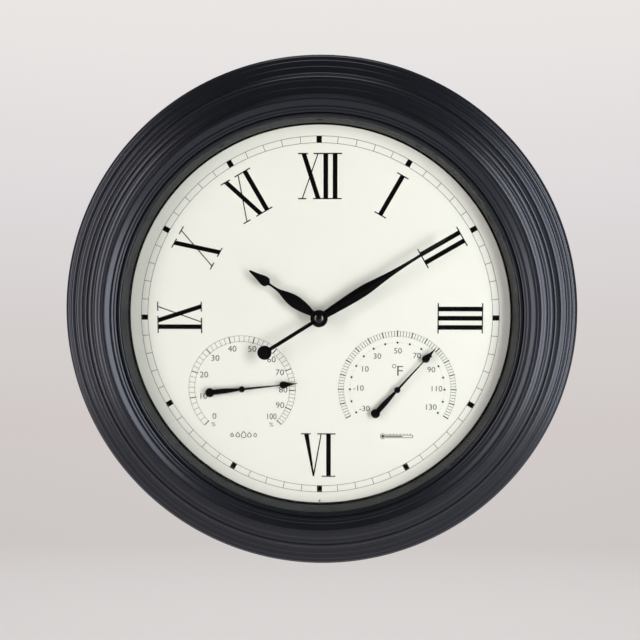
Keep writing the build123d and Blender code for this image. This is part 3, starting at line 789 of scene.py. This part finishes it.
for gauge, angle in (("thermometer", 41.9), ("hygrometer", 83.7)):
    gx, gy = GAUGES[gauge]
    piece(
        f"{gauge}_needle_shape", *turned_by(gauge_needle(NEEDLES), angle, gx, gy),
        looks["hand_black"], f"{gauge}_needle", [f"{gauge}_pointer"], "hand_black",
    )

# Back: screws and rivets through the cover
HEAD_BASE = 2.2
SCREW_CIRCLE = 214.0
RIVET_X, RIVET_Y = 17.0, 196.0


def button(x, y, radius, height):
    """Low domed head that stands out of the back."""
    brim = 0.35
    profile = [(0.0, HEAD_BASE), (radius, HEAD_BASE), (radius, HEAD_BASE - height * brim)]
    for k in range(1, 7):
        t = pi / 2 * k / 6
        profile.append((radius * cos(t), HEAD_BASE - height * (brim + (1 - brim) * sin(t))))
    return lathe(profile, 32, x, y)


def shank(x, y, radius, end, tip):
    """Pin with a blunt tip, from under a head into the case."""
    profile = [(0.0, HEAD_BASE), (radius, HEAD_BASE), (radius, end), (0.0, end + tip)]
    return lathe(profile, 16, x, y)


def cross_slot(x, y):
    """Two crossed blades just proud of a screw's head, that carry the slot's painted shade."""
    blade = prism([(-1.35, -0.28), (1.35, -0.28), (1.35, 0.28), (-1.35, 0.28)], 0.585, 0.9)
    return [turned_by(blade, turn, x, y) for turn in (20, 110)]


screws, slots = [], []
for place in arc(SCREW_CIRCLE, 45, 315, 3):
    screws += [button(*place, 3.0, 1.6), shank(*place, 1.4, 14.0, 0.2)]
    slots += cross_slot(*place)
rivet_places = [(-RIVET_X, RIVET_Y), (RIVET_X, RIVET_Y)]
rivets = [button(*place, 2.8, 0.9) for place in rivet_places]
rivets += [shank(*place, 1.45, 5.7, 0.1) for place in rivet_places]
piece("cover_screw_heads", *joined(*screws), looks["steel"], "case", ["case_screws"], "steel")
# The slots are dark sheets: painted shade standing in for the depth of the cross slots
piece("cover_screw_slots", *joined(*slots), painted_slot_shade, "case", slot="steel")
piece("hanger_rivet_heads", *joined(*rivets), looks["steel"], "case", ["hanger_rivets"], "steel")

# Cell, fitted to its solid's box
low_corner, high_corner = (Vector(c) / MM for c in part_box("battery_cell"))
cell_y, cell_z = (low_corner.z + high_corner.z) / 2, -(low_corner.y + high_corner.y) / 2
left, right = low_corner.x, high_corner.x


def along_x(profile, segments=48):
    """Turned form about the cell's long middle line, from its section of reach and radius."""
    verts, faces = lathe([(r, reach) for reach, r in profile], segments)
    return [(vz, cell_y + vx, cell_z + vy) for vx, vy, vz in verts], faces


sleeve = [
    (left + 0.3, 0.0), (left + 0.3, 6.3), (left + 0.1, 6.8), (left + 0.4, 7.15), (left + 1.0, 7.2),
    (right - 2.2, 7.2), (right - 1.5, 7.1), (right - 1.1, 6.6), (right - 1.0, 6.0),
    (right - 1.0, 0.0),
]
piece("cell_can", *along_x(sleeve), looks["cell_sleeve"], "case", ["battery_cell"], "cell_sleeve")
band = [
    (right - 13.0, 7.18), (right - 13.0, 7.23), (right - 2.4, 7.23), (right - 2.4, 7.18),
]
piece("cell_band", *along_x(band), looks["copper"], "case", slot="cell_sleeve")
nub = [(right - 1.1, 0.0), (right - 1.1, 2.7), (right - 0.25, 2.65), (right, 2.3), (right, 0.0)]
piece("cell_nub", *along_x(nub, 32), looks["steel"], "case", slot="steel")


def setting_knob(x):
    """Grip with eighteen ridges, its stem, and a low boss on its end."""
    base, grip_end, stem_end = 7.2, 10.6, 22.0
    ridges = []
    for k in range(72):
        t = 2 * pi * k / 72
        r = 5.5 if k % 4 in (0, 1) else 5.1
        ridges.append((x + r * cos(t), r * sin(t)))
    stem = [(0.0, base + 0.1), (1.5, base + 0.1), (1.5, stem_end), (0.0, stem_end)]
    boss = [(0.0, base), (3.6, base), (3.9, base + 0.15), (3.9, base + 0.8), (0.0, base + 0.8)]
    return joined(prism(ridges, base, grip_end), lathe(stem, 24, x), lathe(boss, 48, x))


piece(
    "knob_grip", *setting_knob(-16.0), looks["movement_plastic"], "knob",
    ["setting_knob"], "movement_plastic",
)

# Larger solids that stay in view get their edges broken
for name, width in (
    ("back_cover", 0.35), ("hanger_plate", 0.2), ("movement_back", 0.3), ("movement_front", 0.3),
    ("dial_clips", 0.15), ("hex_nut", 0.2), ("cushion_washer", 0.2), ("train_plate", 0.15),
):
    bevel = nodes[name].modifiers.new("soft_edges", "BEVEL")
    bevel.width = width * MM
    bevel.segments = 2
    bevel.limit_method = "ANGLE"
    bevel.angle_limit = radians(50)

# Stage: pale floor that sweeps up far behind the clock, in metres
FLOOR, SWEEP_START, SWEEP_RADIUS = -0.75, 1.0, 0.9
SWEEP_FRONT, SWEEP_TOP, SWEEP_HALF_WIDTH = -3.0, 3.0, 4.0


def sweep_mesh():
    line = [(SWEEP_FRONT, FLOOR), (SWEEP_START, FLOOR)]
    for k in range(1, 17):
        t = pi / 2 * k / 16
        line.append((SWEEP_START + SWEEP_RADIUS * sin(t), FLOOR + SWEEP_RADIUS * (1 - cos(t))))
    line.append((SWEEP_START + SWEEP_RADIUS, SWEEP_TOP))
    verts = [(x, y, z) for y, z in line for x in (-SWEEP_HALF_WIDTH, SWEEP_HALF_WIDTH)]
    faces = [(2 * i, 2 * i + 1, 2 * i + 3, 2 * i + 2) for i in range(len(line) - 1)]
    mesh = bpy.data.meshes.new("sweep")
    mesh.from_pydata(verts, [], faces)
    for face in mesh.polygons:
        face.use_smooth = True
    return mesh


def sweep_paper():
    """Matt paper that glows in the photograph's backdrop tones, by height above the floor."""
    material, made, links, shader = principled("sweep_paper")
    split = made.new("ShaderNodeSeparateXYZ")
    links.new(made.new("ShaderNodeTexCoord").outputs["Object"], split.inputs["Vector"])
    height = made.new("ShaderNodeMapRange")
    height.inputs["From Min"].default_value = FLOOR
    height.inputs["From Max"].default_value = FLOOR + 1.6
    links.new(split.outputs["Z"], height.inputs["Value"])
    tone = made.new("ShaderNodeValToRGB")
    tones = (
        (0.00, (0.81, 0.775, 0.765)), (0.04, (0.66, 0.62, 0.61)), (0.17, (0.65, 0.60, 0.59)),
        (0.32, (0.69, 0.65, 0.64)), (0.56, (0.76, 0.73, 0.74)), (0.93, (0.87, 0.84, 0.82)),
    )
    while len(tone.color_ramp.elements) < len(tones):
        tone.color_ramp.elements.new(0.5)
    for element, (place, colour) in zip(tone.color_ramp.elements, tones):
        element.position = place
        element.color = (*colour, 1)
    links.new(height.outputs["Result"], tone.inputs["Fac"])
    shader.inputs["Base Color"].default_value = (0.80, 0.78, 0.77, 1)
    shader.inputs["Roughness"].default_value = 0.9
    glow = made.new("ShaderNodeEmission")
    links.new(tone.outputs["Color"], glow.inputs["Color"])

    # The glow shows straight on, in glossy things and through glass, but lights nothing
    rays = made.new("ShaderNodeLightPath")
    seen_ray = rays.outputs["Is Camera Ray"]
    for name in ("Is Glossy Ray", "Is Transmission Ray"):
        either = made.new("ShaderNodeMath")
        either.operation = "MAXIMUM"
        links.new(seen_ray, either.inputs[0])
        links.new(rays.outputs[name], either.inputs[1])
        seen_ray = either.outputs["Value"]
    share = made.new("ShaderNodeMapRange")
    share.inputs["From Min"].default_value = 0.0
    share.inputs["From Max"].default_value = 0.15
    share.inputs["To Min"].default_value = 0.65
    share.inputs["To Max"].default_value = 0.92
    links.new(height.outputs["Result"], share.inputs["Value"])
    amount = made.new("ShaderNodeMath")
    amount.operation = "MULTIPLY"
    links.new(seen_ray, amount.inputs[0])
    links.new(share.outputs["Result"], amount.inputs[1])
    mix = made.new("ShaderNodeMixShader")
    links.new(amount.outputs["Value"], mix.inputs["Fac"])
    links.new(shader.outputs["BSDF"], mix.inputs[1])
    links.new(glow.outputs["Emission"], mix.inputs[2])
    links.new(mix.outputs["Shader"], made["Material Output"].inputs["Surface"])
    return material


sweep = bpy.data.objects.new("sweep", sweep_mesh())
bpy.context.scene.collection.objects.link(sweep)
sweep.data.materials.append(sweep_paper())


def studio_world():
    """Even, weak light; pale where the camera sees it."""
    world = bpy.data.worlds.new("studio")
    world.use_nodes = True
    made, links = world.node_tree.nodes, world.node_tree.links
    weak = made["Background"]
    weak.inputs["Color"].default_value = (0.95, 0.96, 1.0, 1)
    weak.inputs["Strength"].default_value = 0.07
    pale = made.new("ShaderNodeBackground")
    pale.inputs["Color"].default_value = (0.70, 0.67, 0.665, 1)
    pale.inputs["Strength"].default_value = 1.0
    mix = made.new("ShaderNodeMixShader")
    links.new(made.new("ShaderNodeLightPath").outputs["Is Camera Ray"], mix.inputs["Fac"])
    links.new(weak.outputs["Background"], mix.inputs[1])
    links.new(pale.outputs["Background"], mix.inputs[2])
    links.new(mix.outputs["Shader"], made["World Output"].inputs["Surface"])
    return world


bpy.context.scene.world = studio_world()

# Lamps: tall ones at the sides draw the bright lines along the frame's beads


def lamp(name, place, size, power, colour=(1, 1, 1)):
    """Soft rectangular lamp that looks at the middle of the wall face."""
    light = bpy.data.lights.new(name, "AREA")
    light.shape = "RECTANGLE"
    light.size, light.size_y = size
    light.energy = power
    light.color = colour
    thing = bpy.data.objects.new(name, light)
    bpy.context.scene.collection.objects.link(thing)
    thing.location = place
    aim = Vector((0, 0, 0)) - Vector(place)
    thing.rotation_mode = "QUATERNION"
    thing.rotation_quaternion = aim.to_track_quat("-Z", "Y")


lamp("soft_left", (-1.47, -0.85, 0.2), (0.42, 2.0), 21.0, (1.0, 0.955, 0.94))
lamp("soft_right", (1.26, -0.98, 0.0), (0.52, 2.1), 31.8, (0.98, 1.0, 0.99))
lamp("soft_above", (0, 0.25, 1.3), (0.7, 0.5), 2.4)
lamp("back_fill", (0, 1.5, 1.2), (1.4, 0.8), 10)

# Camera, where the photograph was taken from: its place, and the ways it faces
CAMERA_PLACE = (0.02706, -0.87314, 0.0910)
CAMERA_RIGHTWARD = (0.99951, 0.03130, -0.00083)
CAMERA_FORWARD = (-0.03116, 0.9935, -0.1098)
camera = bpy.data.cameras.new("camera")
camera.lens = 54.098
camera.sensor_width = 36.0
viewer = bpy.data.objects.new("camera", camera)
bpy.context.scene.collection.objects.link(viewer)
rightward = Vector(CAMERA_RIGHTWARD).normalized()
forward = Vector(CAMERA_FORWARD)
forward = (forward - rightward * forward.dot(rightward)).normalized()
upward = rightward.cross(forward).normalized()
turn = Matrix((rightward, upward, -forward)).transposed().to_4x4()
viewer.matrix_world = Matrix.Translation(CAMERA_PLACE) @ turn
bpy.context.scene.camera = viewer

bpy.context.scene.view_settings.view_transform = "Standard"
